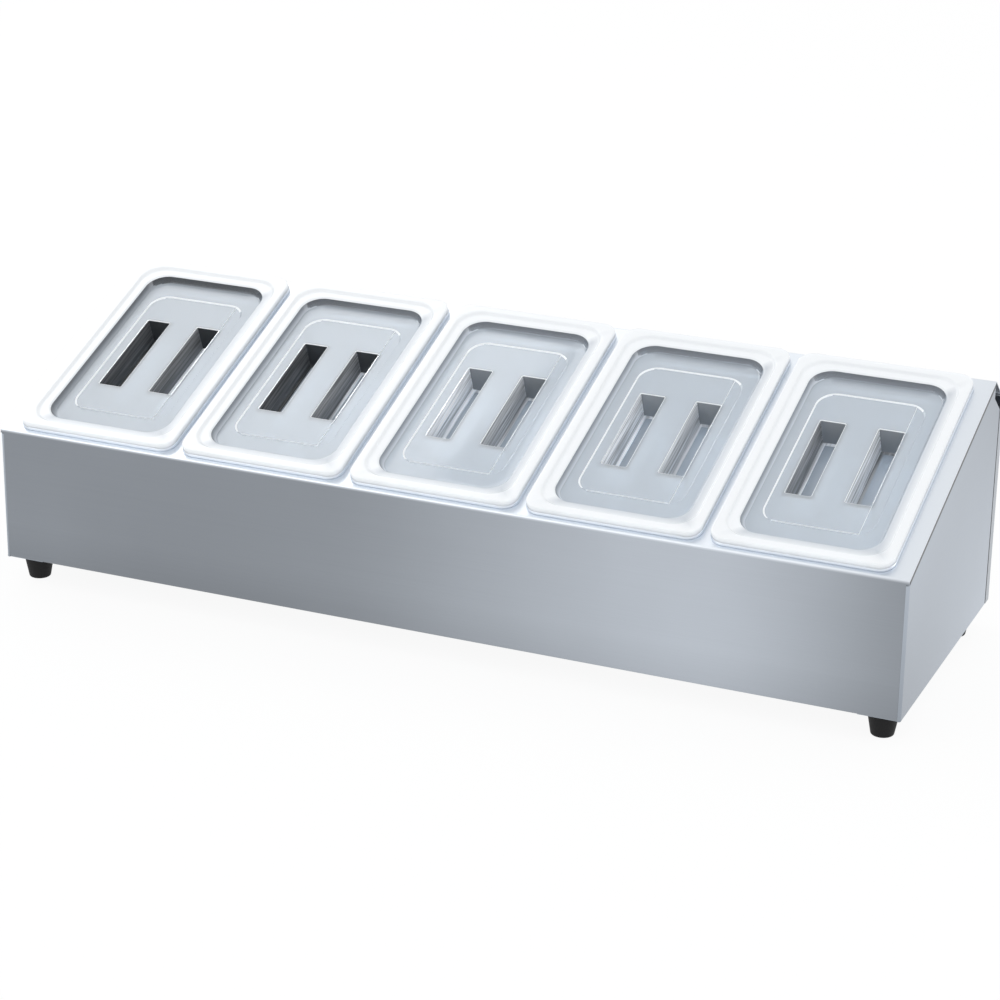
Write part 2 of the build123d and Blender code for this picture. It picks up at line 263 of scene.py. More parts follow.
class FootSettings(PropertyGroup):
    """Sizes of the rubber feet."""

    height: millimetres("Height", "Height of a foot", 24.0)
    top_diameter: millimetres("Top diameter", "Diameter under the stand", 29.0)
    base_diameter: millimetres("Base diameter", "Diameter on the counter", 20.0)
    edge: millimetres("Edge", "Rounding of the edges", 1.2)


class FastenerSettings(PropertyGroup):
    """Sizes of the screws, the nuts and the washers."""

    head_width: millimetres("Head width", "Cover screw, across the flats", 8.0)
    head_height: millimetres("Head height", "Height of the hexagon head", 2.2)
    shank_diameter: millimetres("Shank diameter", "Cover screw, over the thread", 4.0)
    shank_length: millimetres("Shank length", "Cover screw, below the head", 9.5)
    shank_pitch: millimetres("Shank pitch", "Thread of the cover screw", 1.4)
    stud_diameter: millimetres("Stud diameter", "Screw moulded into a foot", 5.0)
    stud_length: millimetres("Stud length", "Height of that screw above the foot", 7.5)
    stud_pitch: millimetres("Stud pitch", "Thread of that screw", 0.8)
    thread_depth: millimetres("Thread depth", "Depth of both threads", 0.35)
    washer_diameter: millimetres("Washer diameter", "Washer of a foot", 12.0)
    washer_height: millimetres("Washer height", "Thickness of the washer", 1.0)
    nut_width: millimetres("Nut width", "Nut of a foot, across the flats", 8.0)
    nut_height: millimetres("Nut height", "Height of the nut", 4.0)
    bore: millimetres("Bore", "Hole through washer and nut", 5.5)
    edge: millimetres("Edge", "Rounding of head and nut", 0.4)
    seed: IntProperty(name="Seed", description="Seed of the scattered turns", default=7, min=0)


class FinishSettings(PropertyGroup):
    """Colours and strengths of the finishes."""

    front_colour: colour("Front steel", "Colour of the front", (0.50, 0.54, 0.595))
    # The deck is the same sheet as the front: its brighter colour is painted light
    deck_lit_colour: colour("Deck steel", "Colour of the deck", (0.82, 0.865, 0.92))
    cover_colour: colour("Cover steel", "Colour of the rear cover", (0.44, 0.47, 0.51))
    side_colour: colour("Side steel", "Colour of the side panels", (0.43, 0.475, 0.535))
    pan_colour: colour("Pan steel", "Colour of the drawn pans", (0.76, 0.81, 0.88))
    grain: share("Grain", "Depth of the brushed grain", 0.12)
    lid_colour: colour("Lid", "Colour of the clear lids", (0.86, 0.93, 1.0))
    rim_colour: colour("Lid rim", "Colour of the raised rims", (0.95, 0.975, 1.0))
    # The tray walls are clear plastic: their dark colour is painted shade
    wall_shade_colour: colour("Tray wall", "Colour of the dark tray walls", (0.36, 0.39, 0.43))
    pocket_colour: colour("Pocket", "Colour of the deep pocket walls", (0.70, 0.73, 0.76))
    # Painted shade on the upper ends of the pockets; their sides and floors get painted light and
    # shade
    pocket_end_shade: colour("Pocket end", "Colour of the upper end of a pocket", (0.38, 0.41, 0.44))
    pocket_side: colour("Pocket side", "Colour of the sides of a pocket", (0.93, 0.96, 1.0))
    pocket_floor: colour("Pocket floor", "Colour of the floor of a pocket", (0.93, 0.96, 1.0))
    end_light: lights("End light", "On the pocket ends of each lid", (0.15, 0.17, 0.85, 1.0, 0.95))
    side_light: lights(
        "Side light",
        "On the sides of each pocket",
        (0.12, 0.26, 0.13, 0.3, 1.0, 0.6, 1.0, 0.8, 0.34, 1.0),
    )
    floor_light: lights(
        "Floor light",
        "On the floor of each pocket",
        (0.05, 1.0, 0.06, 1.0, 1.0, 0.8, 1.0, 0.8, 1.0, 0.35),
    )
    rubber_colour: colour("Rubber", "Colour of the feet", (0.006, 0.006, 0.0065))
    zinc_colour: colour("Fasteners", "Colour of screws, nuts and washers", (0.50, 0.51, 0.53))


class StageSettings(PropertyGroup):
    """Floor, lamps and camera."""

    floor_colour: colour("Floor", "Colour of the floor and background", (0.93, 0.94, 0.95))
    focal_length: FloatProperty(
        name="Focal length", description="Lens of the camera", default=105.25, unit="CAMERA"
    )
    camera_place: FloatVectorProperty(
        name="Camera place",
        description="Where the camera stands",
        default=(0.9906, -2.3133, 1.0717),
        subtype="XYZ",
        unit="LENGTH",
    )
    camera_turn: FloatVectorProperty(
        name="Camera turn",
        description="Pitch, roll and heading of the camera",
        default=(math.radians(-21.10), math.radians(0.75), math.radians(-23.04)),
        subtype="EULER",
        unit="ROTATION",
    )


class PanStandSettings(PropertyGroup):
    """Everything that a user can change."""

    deck: PointerProperty(type=DeckSettings, name="Deck", description="Sloping deck")
    pan: PointerProperty(type=PanSettings, name="Pan", description="Drawn steel pan")
    lid: PointerProperty(type=LidSettings, name="Lid", description="Clear lid")
    foot: PointerProperty(type=FootSettings, name="Foot", description="Rubber foot")
    fastener: PointerProperty(type=FastenerSettings, name="Fastener", description="Small parts")
    finish: PointerProperty(type=FinishSettings, name="Finish", description="Finishes")
    stage: PointerProperty(type=StageSettings, name="Stage", description="Floor and camera")


def deck_matrix(deck):
    """Turns deck coordinates in millimetres, across, along the slope and above, into metres."""
    across = Vector((1, 0, 0))
    along = Vector((0, math.cos(deck.slope), math.sin(deck.slope)))
    above = across.cross(along)
    turn = Matrix((across, along, above)).transposed().to_4x4()
    return Matrix.Scale(MM, 4) @ Matrix.Translation((0, FRONT_Y, deck.fold_height)) @ turn


def pan_places(deck, pan):
    """Matrix of each pan: its middle on the deck."""
    middle = deck.front_margin + pan.length / 2
    spread = (len(PAN_BODIES) - 1) / 2
    place = deck_matrix(deck)
    return [
        place @ Matrix.Translation(((i - spread) * deck.pan_pitch, middle, 0))
        for i in range(len(PAN_BODIES))
    ]


def rounded_profile(corners, steps=5):
    """Profile through (inset, height, plan radius, rounding) corners, with the corners eased."""
    points = [Vector(corner[:3]) for corner in corners]
    profile = []
    for place, corner in enumerate(corners):
        ease = corner[3]
        here = points[place]
        if not ease:
            profile.append(here)
            continue
        before = here + (points[place - 1] - here).normalized() * ease
        after = here + (points[place + 1] - here).normalized() * ease
        for step in range(steps + 1):
            t = step / steps
            profile.append(before * (1 - t) ** 2 + here * 2 * t * (1 - t) + after * t**2)
    return profile


def clamped(value):
    """A value kept between 0 and 1."""
    return min(1.0, max(0.0, value))


def linked(name, data):
    """A new object in the scene's collection."""
    made = bpy.data.objects.new(name, data)
    bpy.context.scene.collection.objects.link(made)
    return made


class Shell:
    """A mesh made of rings of points, bridged and filled."""

    def __init__(self, corner_steps=14):
        self.mesh = bmesh.new()
        self.corner_steps = corner_steps

    def ring(self, half_width, half_length, radius, height, middle=(0, 0)):
        """Ring of points round a rounded rectangle at one height."""
        verts = []
        for quarter, (sx, sy) in enumerate(((1, 1), (-1, 1), (-1, -1), (1, -1))):
            for step in range(self.corner_steps + 1):
                angle = math.pi / 2 * (quarter + step / self.corner_steps)
                x = middle[0] + sx * (half_width - radius) + radius * math.cos(angle)
                y = middle[1] + sy * (half_length - radius) + radius * math.sin(angle)
                verts.append(self.mesh.verts.new((x, y, height)))
        return verts

    def bridge(self, ring_a, ring_b, material=0, smooth=True):
        """Faces between two rings of the same number of points."""
        count = len(ring_a)
        for i in range(count):
            j = (i + 1) % count
            face = self.mesh.faces.new((ring_a[i], ring_a[j], ring_b[j], ring_b[i]))
            face.material_index = material
            face.smooth = smooth

    def fill(self, ring, holes=(), material=0):
        """Flat faces inside a ring, round its holes."""
        loops = [ring, *holes]
        verts = [vert for loop in loops for vert in loop]
        for triangle in tessellate_polygon([[vert.co for vert in loop] for loop in loops]):
            self.mesh.faces.new([verts[i] for i in triangle]).material_index = material

    def stack(self, half_width, half_length, profile, material=None, middle=(0, 0), start=None):
        """Rings along a profile, bridged one to the next. Gives the first and the last ring.

        The material of a bridge comes from the inset and the height of its second ring.
        """
        first = last = start
        for inset, height, radius in profile:
            ring = self.ring(half_width - inset, half_length - inset, radius, height, middle)
            if last:
                self.bridge(last, ring, material(inset, height) if material else 0)
            first = first or ring
            last = ring
        return first, last

    def finish(self, name, matrix, materials, paint=None, shade=None):
        """The shell as an object in its place, with its faces turned outwards.

        Paint gives the material of each face, and shade the Shade attribute of each point.
        """
        bmesh.ops.remove_doubles(self.mesh, verts=self.mesh.verts, dist=1e-4)
        bmesh.ops.recalc_face_normals(self.mesh, faces=self.mesh.faces)
        if paint:
            for face in self.mesh.faces:
                face.material_index = paint(face)
        shades = [shade(vert.co) for vert in self.mesh.verts] if shade else []
        self.mesh.transform(matrix)
        data = bpy.data.meshes.new(name)
        self.mesh.to_mesh(data)
        self.mesh.free()
        if shades:
            data.attributes.new("Shade", "FLOAT", "POINT").data.foreach_set("value", shades)
        for material in materials:
            data.materials.append(material)
        return linked(name, data)


def fed(tree, made, *feeds, **values):
    """Feeds a node, in order and then by name, where From_Min is its input From Min.

    A socket is linked, and anything else is the value. A name in small letters is a setting.
    """
    for name, value in values.items():
        if name[0].islower():
            setattr(made, name, value)
    named = [
        (made.inputs[name.replace("_", " ")], value)
        for name, value in values.items()
        if name[0].isupper()
    ]
    for socket, value in [*zip(made.inputs, feeds), *named]:
        if isinstance(value, NodeSocket):
            tree.links.new(value, socket)
        elif value is not None:
            socket.default_value = value
    return made


def node(tree, kind, *feeds, **values):
    """A new node of a kind, fed."""
    return fed(tree, tree.nodes.new(kind), *feeds, **values)


def arranged(tree):
    """Lays the nodes of a tree out in columns, from its end to the left."""
    column = {}
    waiting = [(end, 0) for end in tree.nodes if not any(out.is_linked for out in end.outputs)]
    while waiting:
        here, step = waiting.pop()
        if column.get(here.name, -1) < step:
            column[here.name] = step
            links = [link for socket in here.inputs for link in socket.links]
            waiting += [(link.from_node, step + 1) for link in links]
    filled = collections.Counter()
    for name, step in column.items():
        tree.nodes[name].location = (-NODE_COLUMN * step, -NODE_ROW * filled[step])
        filled[step] += 1


def maths(tree, operation, *values):
    """Result of a math node fed by sockets and numbers."""
    return node(tree, "ShaderNodeMath", *values, operation=operation).outputs[0]


def ranged(tree, value, *levels):
    """A value moved from one range to another: low and high before, low and high after."""
    return node(tree, "ShaderNodeMapRange", value, *levels).outputs["Result"]


def object_place(tree):
    """The object coordinates."""
    return node(tree, "ShaderNodeTexCoord").outputs["Object"]


def axes_of(tree):
    """The three object coordinates, as sockets."""
    return node(tree, "ShaderNodeSeparateXYZ", object_place(tree)).outputs


def noise(tree, place, scale, detail, roughness=0.5):
    """Level of a noise at a place."""
    made = node(
        tree, "ShaderNodeTexNoise", Vector=place, Scale=scale, Detail=detail, Roughness=roughness
    )
    return made.outputs["Fac"]


def levels_along(tree, value, stops, interpolation="B_SPLINE"):
    """A grey that follows (place, level) stops along a coordinate."""
    low, high = stops[0][0], stops[-1][0]
    grey = node(tree, "ShaderNodeValToRGB", ranged(tree, value, low, high))
    ramp = grey.color_ramp
    ramp.interpolation = interpolation
    for end in (0, -1):
        level = stops[end][1]
        ramp.elements[end].color = (level, level, level, 1)
    for place, level in stops[1:-1]:
        ramp.elements.new((place - low) / (high - low)).color = (level, level, level, 1)
    return grey.outputs["Color"]


def mixed(tree, factor, below, above, blend="MIX"):
    """Mix of two colours by a factor. Each is a socket, a colour or a number."""
    made = node(tree, "ShaderNodeMix", factor, A=below, B=above, data_type="RGBA", blend_type=blend)
    return made.outputs["Result"]


def toned(tree, tint, tone):
    """A colour times a tone."""
    return mixed(tree, 1.0, tint, tone, "MULTIPLY")


def shaded(tree, tint, shade):
    """A colour that turns to another as the Shade attribute of the mesh grows."""
    amount = node(tree, "ShaderNodeAttribute", attribute_name="Shade")
    return mixed(tree, amount.outputs["Fac"], tint, shade)


def recoloured(material, change):
    """Changes the base colour of a material: change takes the tree and the old colour."""
    tree = material.node_tree
    tint = tree.nodes["Principled BSDF"].inputs["Base Color"]
    old = tint.links[0].from_socket if tint.links else tuple(tint.default_value)
    tree.links.new(change(tree, old), tint)
    arranged(tree)


def group_once(name):
    """Makes a node group when it is first asked for, and gives the same one from then on."""

    def decorate(make):
        @functools.wraps(make)
        def kept():
            return bpy.data.node_groups.get(name) or make(name)

        return kept

    return decorate


def new_group(name, inputs, outputs, kind="ShaderNodeTree"):
    """An empty node group. Gives its tree, the sockets of its inputs and its output node."""
    tree = bpy.data.node_groups.new(name, kind)
    for label, socket_type, value in inputs:
        socket = tree.interface.new_socket(
            label, in_out="INPUT", socket_type=f"NodeSocket{socket_type}"
        )
        if value is not None:
            socket.default_value = value
    for label, socket_type in outputs:
        tree.interface.new_socket(label, in_out="OUTPUT", socket_type=f"NodeSocket{socket_type}")
    return tree, node(tree, "NodeGroupInput").outputs, node(tree, "NodeGroupOutput")


@group_once("Brushed grain")
def grain_group(name):
    """Brushed grain: long fine lines that shade, roughen and lift the surface."""
    tree, given, out = new_group(
        name,
        (
            ("Colour", "Color", (0.5, 0.5, 0.5, 1)),
            ("Lines", "Vector", (4, 1600, 1600)),
            ("Depth", "Float", 0.25),
            ("Roughness", "Float", 0.35),
        ),
        (("Colour", "Color"), ("Roughness", "Float"), ("Normal", "Vector")),
    )
    place = object_place(tree)
    stretched = node(tree, "ShaderNodeVectorMath", place, given["Lines"], operation="MULTIPLY")
    lines = noise(tree, stretched.outputs[0], scale=1.0, detail=4.0, roughness=0.65)
    lines = ranged(tree, lines, *NOISE_SPAN)
    clouds = ranged(tree, noise(tree, place, scale=5.0, detail=3.0), *NOISE_SPAN, *CLOUD_TONES)
    darkest = maths(tree, "MULTIPLY_ADD", given["Depth"], LINE_SHADE, 1.0)
    tone = maths(tree, "MULTIPLY", ranged(tree, lines, 0.0, 1.0, darkest), clouds)
    rough = maths(tree, "MULTIPLY", given["Roughness"], clouds)
    bump = node(tree, "ShaderNodeBump", Strength=given["Depth"], Distance=0.00005, Height=lines)
    fed(tree, out, toned(tree, given["Colour"], tone), rough, bump.outputs["Normal"])
    arranged(tree)
    return tree


@group_once("Height above deck")
def deck_group(name):
    """How far a point lies above the deck, in metres."""
    place = deck_matrix(bpy.context.scene.pan_stand.deck)
    above = place.col[2].to_3d().normalized()
    tree, given, out = new_group(
        name, (("Deck", "Float", place.translation.dot(above)),), (("Height", "Float"),)
    )
    height = node(
        tree, "ShaderNodeVectorMath", object_place(tree), above, operation="DOT_PRODUCT"
    )
    fed(tree, out, maths(tree, "SUBTRACT", height.outputs["Value"], given["Deck"]))
    arranged(tree)
    return tree


@group_once("Flow streaks")
def streak_group(name):
    """Streaks that run up the slope, as a tone about 1."""
    tree, given, out = new_group(name, (("Contrast", "Float", 0.4),), (("Tone", "Float"),))
    slope = bpy.context.scene.pan_stand.deck.slope
    turned = node(
        tree,
        "ShaderNodeMapping",
        vector_type="TEXTURE",
        Vector=object_place(tree),
        Rotation=(slope, 0, 0),
    )
    stretched = node(
        tree, "ShaderNodeVectorMath", turned.outputs[0], STREAK_SCALE, operation="MULTIPLY"
    )
    shade = noise(tree, stretched.outputs[0], scale=1.0, detail=2.0)
    shade = ranged(tree, shade, *STREAK_LEVELS)
    fed(tree, out, maths(tree, "MULTIPLY_ADD", shade, given["Contrast"], 1.0))
    arranged(tree)
    return tree


def height_above_deck(tree):
    """Socket of the group that gives the height above the deck."""
    return node(tree, "ShaderNodeGroup", node_tree=deck_group()).outputs["Height"]


def new_material(name):
    """A material with its tree and its surface shader."""
    material = bpy.data.materials.new(name)
    material.use_nodes = True
    return material, material.node_tree, material.node_tree.nodes["Principled BSDF"]


def steel(name, tint, lines, roughness, depth):
    """Brushed or drawn steel whose grain follows the sheet."""
    material, tree, surface = new_material(name)
    grain = node(
        tree,
        "ShaderNodeGroup",
        node_tree=grain_group(),
        Colour=(*tint, 1),
        Lines=lines,
        Depth=depth,
        Roughness=roughness,
    ).outputs
    fed(
        tree,
        surface,
        Metallic=1.0,
        Base_Color=grain["Colour"],
        Roughness=grain["Roughness"],
        Normal=grain["Normal"],
    )
    arranged(tree)
    return material


def speckled(tree, scale, detail, levels):
    """A fine noise, as it is and between two levels."""
    fine = noise(tree, object_place(tree), scale, detail)
    return fine, ranged(tree, fine, 0.0, 1.0, *levels)


def clear_plastic(name, tint, transmission, roughness):
    """Clear moulded plastic that lets lamp light through."""
    material, tree, surface = new_material(name)
    levels = [roughness * level for level in ROUGHNESS_SPAN]
    _, rough = speckled(tree, scale=60.0, detail=4.0, levels=levels)
    fed(
        tree,
        surface,
        Base_Color=(*tint, 1),
        Transmission_Weight=transmission,
        IOR=1.49,
        Roughness=rough,
    )
    through = node(tree, "ShaderNodeBsdfTransparent", Color=(*tint, 1))
    shadow = node(tree, "ShaderNodeLightPath").outputs["Is Shadow Ray"]
    either = node(tree, "ShaderNodeMixShader", shadow, surface.outputs[0], through.outputs[0])
    fed(tree, tree.nodes["Material Output"], Surface=either.outputs[0])
    arranged(tree)
    return material


def rubber(tint):
    """Dull moulded rubber."""
    material, tree, surface = new_material("Rubber foot")
    skin, rough = speckled(tree, scale=900.0, detail=3.0, levels=(0.5, 0.75))
    bump = node(tree, "ShaderNodeBump", Strength=0.3, Distance=0.0001, Height=skin)
    fed(
        tree,
        surface,
        Base_Color=(*tint, 1),
        Specular_IOR_Level=0.25,
        Roughness=rough,
        Normal=bump.outputs["Normal"],
    )
    arranged(tree)
    return material


def dress(name, material):
    """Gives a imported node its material."""
    piece = frame["nodes"][name]
    piece.data.materials.clear()
    piece.data.materials.append(material)


class PANSTAND_OT_body(Operator):
    """Give the folded sheets of the stand their brushed steel"""

    bl_idname = "pan_stand.body"
    bl_label = "Folded Body"

    def execute(self, context):
        finish = context.scene.pan_stand.finish
        brushed = {"roughness": 0.34, "depth": finish.grain}
        along, across = (4, 2600, 2600), (2600, 4, 2600)
        front = steel("Steel front and deck", finish.front_colour, along, **brushed)
        cover = steel("Steel cover", finish.cover_colour, along, **brushed)
        sides = steel("Steel sides", finish.side_colour, across, **brushed)
        # Copies of one steel, with painted light and shade on the front and deck and on the sides
        recoloured(front, self.front_tone)
        recoloured(sides, self.side_tone)
        dress("front_and_deck", front)
        dress("rear_cover", cover)
        dress("side_panel_left", sides)
        dress("side_panel_right", sides)
        return {"FINISHED"}

    def front_tone(self, tree, tint):
        """Painted light and shade: broad light and dark along the front, and the brighter deck
        above the fold.
        """
        settings = bpy.context.scene.pan_stand
        fold = settings.deck.fold_height * MM
        x, _, z = axes_of(tree)
        tint = toned(tree, tint, levels_along(tree, x, FRONT_PAINTED_LIGHT))
        tint = toned(tree, tint, levels_along(tree, z, (*FOOT_PAINTED_SHADE, (fold, 1.0)), "LINEAR"))
        deck = toned(tree, (*settings.finish.deck_lit_colour, 1), levels_along(tree, x, DECK_PAINTED_SHADE))
        return mixed(tree, ranged(tree, z, fold - FOLD_BLEND, fold), tint, deck)

    def side_tone(self, tree, tint):
        """Lighter low at the back and high at the front, as the flat sheet mirrors a room."""
        _, y, z = axes_of(tree)
        twist = maths(tree, "MULTIPLY", maths(tree, "SUBTRACT", SIDE_TWIST_HEIGHT, z), y)
        tint = toned(tree, tint, maths(tree, "MULTIPLY_ADD", twist, SIDE_TWIST, 1.0))
        seam = levels_along(tree, height_above_deck(tree), SIDE_SEAM, "LINEAR")
        return toned(tree, toned(tree, tint, seam), levels_along(tree, y, SIDE_BACK, "LINEAR"))


class PANSTAND_OT_pans(Operator):
    """Make the drawn steel pans"""

    bl_idname = "pan_stand.pans"
    bl_label = "Pans"

    def execute(self, context):
        settings = context.scene.pan_stand
        deck, pan, finish = settings.deck, settings.pan, settings.finish
        # Two copies of one steel: each carries its own painted shade, and the inside a painted
        # highlight
        drawn, inner = (
            steel(name, finish.pan_colour, (60, 900, 60), roughness=0.3, depth=finish.grain)
            for name in ("Drawn steel", "Drawn steel inside")
        )
        recoloured(inner, self.inner_tone)
        recoloured(drawn, self.outer_tone)
        half_width, half_length = pan.width / 2, pan.length / 2
        floor = pan.rim_height - pan.depth + pan.steel
        shoulder = pan.rim_height - pan.shoulder_depth
        wall_top = pan.rim_width + pan.shoulder_step
        wall_foot = wall_top + (shoulder - floor) * math.tan(pan.wall_draft)
        floor_inset, floor_corner = wall_foot + 2 * pan.floor_radius, pan.wall_radius - 4
        skin = pan.steel
        # Corners of both profiles: inset, height, plan radius and rounding
        inside = [
            (0, 0, pan.rim_radius, 0),
            (0, pan.rim_height, pan.rim_radius, 1.4),
            (pan.rim_width, pan.rim_height, pan.mouth_radius, 2.5),
            (pan.rim_width, shoulder, pan.mouth_radius, 1.6),
            (wall_top, shoulder, pan.wall_radius, 1.2),
            (wall_foot, floor, pan.wall_radius, pan.floor_radius),
            (floor_inset, floor, floor_corner, 0),
        ]
        outside = [
            (0, 0, pan.rim_radius, 0),
            (skin, 0, pan.rim_radius - skin, 0),
            (skin, pan.rim_height - skin, pan.rim_radius - skin, 0.7),
            (pan.rim_width - skin, pan.rim_height - skin, pan.mouth_radius, 1.8),
            (pan.rim_width - skin, shoulder - skin, pan.mouth_radius, 1.0),
            (wall_top - skin, shoulder - skin, pan.wall_radius, 1.1),
            (wall_foot - skin, floor - skin, pan.wall_radius, pan.floor_radius),
            (floor_inset, floor - skin, floor_corner, 0),
        ]

        def upper_finish(inset, height):
            """The outside finish on the rim, and the inside finish, with painted shade and a
            painted highlight, from the mouth down.
            """
            return int(inset > pan.rim_width - MOUTH_SEAM)

        for body, place in zip(PAN_BODIES, pan_places(deck, pan)):
            shell = Shell()
            profile = rounded_profile(inside)
            first, last = shell.stack(half_width, half_length, profile, upper_finish)
            shell.fill(last, material=1)
            profile = rounded_profile(outside)[1:]
            _, last = shell.stack(half_width, half_length, profile, start=first)
            shell.fill(last)
            piece = shell.finish(f"{body}_drawn", place, [drawn, inner])
            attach(piece, body)
            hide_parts(body)
        return {"FINISHED"}

    def outer_tone(self, tree, tint):
        """Painted shade: the outside of the body is darker than the rim."""
        return toned(tree, tint, levels_along(tree, height_above_deck(tree), PAN_OUTSIDE_SHADE, "LINEAR"))

    def inner_tone(self, tree, tint):
        """Painted shade on the steep band above the shoulder and to the left, a painted highlight
        on the shoulder itself.
        """
        pan = bpy.context.scene.pan_stand.pan
        below = maths(tree, "SUBTRACT", pan.rim_height * MM, height_above_deck(tree))
        depth = maths(tree, "DIVIDE", below, pan.shoulder_depth * MM)
        line = levels_along(tree, depth, PAN_SHOULDER_HIGHLIGHT, "LINEAR")
        tint = toned(tree, tint, levels_along(tree, depth, PAN_BAND_SHADE, "LINEAR"))
        tint = toned(tree, tint, levels_along(tree, axes_of(tree)[0], PAN_TONE))
        return mixed(tree, line, tint, SHOULDER_HIGHLIGHT_COLOUR)


class PANSTAND_OT_lids(Operator):
    """Make the clear moulded lids"""

    bl_idname = "pan_stand.lids"
    bl_label = "Lids"

    def execute(self, context):
        settings = context.scene.pan_stand
        deck, pan, lid, finish = settings.deck, settings.pan, settings.lid, settings.finish
        # Name, tint, transmission and roughness, in the order of the slots
        finishes = [
            clear_plastic("Lid tray", finish.lid_colour, 0.60, 0.05),
            # Whiter and less clear than the tray: painted light on the rim
            clear_plastic("Lid rim", finish.rim_colour, 0.14, 0.22),
            clear_plastic("Lid pocket", finish.pocket_colour, 0.90, 0.06),
            # Darker: painted shade on the pocket ends. Paler: painted light and shade on their
            # sides and floors
            clear_plastic("Lid pocket end", finish.pocket_end_shade, 0.30, 0.12),
            clear_plastic("Lid pocket side", finish.pocket_side, 0.10, 0.10),
            clear_plastic("Lid pocket floor", finish.pocket_floor, 0.08, 0.12),
            clear_plastic("Lid tray wall", finish.lid_colour, 0.92, 0.04),
            # Painted shade on the back walls of the trays
            clear_plastic("Lid tray wall painted shade", finish.wall_shade_colour, 0.70, 0.04),
            # Whiter and less clear than the tray: painted highlights on the edges of the pocket
            # mouths and on the step
            clear_plastic("Lid edge", finish.rim_colour, 0.10, 0.20),
            # Painted shade on the left walls of the trays
            clear_plastic("Lid tray left wall", finish.wall_shade_colour, 0.15, 0.08),
        ]
        # Painted light and shade on the tray floor, the rim and ledge, the tray walls and the
        # pockets
        for slot, tone in (
            (TRAY, self.tray_tone),
            (BACK_WALL, functools.partial(self.wall_tone, levels=BACK_WALL_SHADE)),
            (LEFT_WALL, functools.partial(self.wall_tone, levels=LEFT_WALL_SHADE)),
            (POCKET_END, functools.partial(self.light_by_place, light=finish.end_light)),
            (RIM, self.ledge_tone),
            (POCKET_SIDE, functools.partial(self.streaked, light=finish.side_light)),
            (POCKET_FLOOR, functools.partial(self.streaked, light=finish.floor_light)),
        ):
            recoloured(finishes[slot], tone)
        half_width, half_length = pan.width / 2, pan.length / 2
        top = pan.rim_height + lid.rim_height
        ledge = top - lid.ledge_drop
        floor = ledge - lid.tray_depth
        edge_radius = pan.rim_radius - lid.inset
        crown = lid.inset + lid.rim_width
        ledge_start = crown + lid.rim_slope
        tray = ledge_start + lid.ledge_width
        tray_run = lid.tray_depth * math.tan(lid.tray_draft)
        tray_foot = tray + tray_run
        outer_radius = lid.tray_radius + lid.rim_slope
        # Corners of both profiles: inset, height, plan radius and rounding
        upper = [
            (lid.inset, pan.rim_height, edge_radius, 0),
            (lid.inset, top, edge_radius, 1.6),
            (crown, top, outer_radius, 1.2),
            (ledge_start, ledge, outer_radius, 1.2),
            (tray, ledge, lid.tray_radius, 2.0),
            (tray_foot, floor, lid.tray_radius, 2.5),
            (tray_foot + 9, floor, lid.tray_radius - 5, 0),
        ]
        under = [
            (lid.inset, pan.rim_height, edge_radius, 0),
            (tray - lid.wall + 0.9, pan.rim_height, outer_radius, 1.0),
            (tray_foot - lid.wall * 0.6, floor - lid.wall, outer_radius, 3.0),
            (tray_foot + 6, floor - lid.wall, lid.tray_radius - 5, 0),
        ]
        spread = (lid.grip_width + lid.pocket_width) / 2
        pad_half_width, pad_half_length = spread + lid.pocket_width / 2, lid.pad_length / 2
        sunk = floor - lid.step_depth
        pad_top = sunk + lid.pad_height
        step_half_width = half_width - tray - tray_run - lid.step_side
        step_half_length = half_length - tray - tray_run - lid.step_end
        pocket_floor = floor - lid.pocket_depth
        run = (pad_top - pocket_floor) * math.tan(lid.pocket_draft)
        pocket_walls = [
            (-0.6, pad_top, lid.pocket_radius + 0.6, 0),
            (0, pad_top, lid.pocket_radius, 0.7),
            (run, pocket_floor, lid.pocket_radius, 2.0),
            (run + 3, pocket_floor, 1.0, 0),
        ]
        run = (floor - pocket_floor) * math.tan(lid.pocket_draft)
        pocket_backs = [
            (-lid.wall - 0.8, floor - lid.wall, lid.pocket_radius + 3, 0),
            (-lid.wall, floor - lid.wall, lid.pocket_radius + 2.5, 0.7),
            (run - lid.wall, pocket_floor - lid.wall, lid.pocket_radius + 2.5, 3.5),
            (run + 3, pocket_floor - lid.wall, 2.0, 0),
        ]

        def upper_finish(inset, height):
            """The rim with its painted light, then the clear wall of the tray, then its milky
            floor.
            """
            if inset < tray + TRAY_SEAM:
                return RIM
            return WALL if height > floor + FLOOR_SEAM else TRAY

        def pocket_finish(inset, height):
            """The wall of a pocket, and a painted highlight on the edge of its mouth close under
            the top of the pad.
            """
            return POCKET if height < pad_top - PAD_SEAM else EDGE

        def shadow(left, point):
            """Painted shadow, full at the foot of the back wall of the tray, a share at that of the
            left wall.

            On the ledge it is painted shade that grows towards the right and front edges of the
            tray.
            """
            if point.z > ledge - LEDGE_ROUNDING:
                near = min(half_width - point.x, half_length + point.y)
                far = min(half_width + point.x, half_length - point.y)
                inward = (near - ledge_start + LEDGE_LEAD) / (lid.ledge_width + LEDGE_LEAD)
                return clamped((far - near) / LEDGE_FADE) * clamped(inward)
            if point.z < sunk or point.z > floor + SHADOW_HEIGHT:
                return 0.0
            across = (-point.x - half_width + tray + tray_run + SHADOW_WIDTH) / SHADOW_WIDTH
            along = (point.y - half_length + tray + tray_run + SHADOW_WIDTH) / SHADOW_WIDTH
            return clamped(max(left * across, along))

        def pockets(shell, profile, material):
            """The walls and floors of both pockets. Gives the rings of their mouths."""
            mouths = []
            for side in (-1, 1):
                mouth, foot = shell.stack(
                    lid.pocket_width / 2,
                    lid.pocket_length / 2,
                    rounded_profile(profile, 3),
                    material,
                    middle=(side * spread, 0),
                )
                mouths.append(mouth)
                shell.fill(foot)
            return mouths

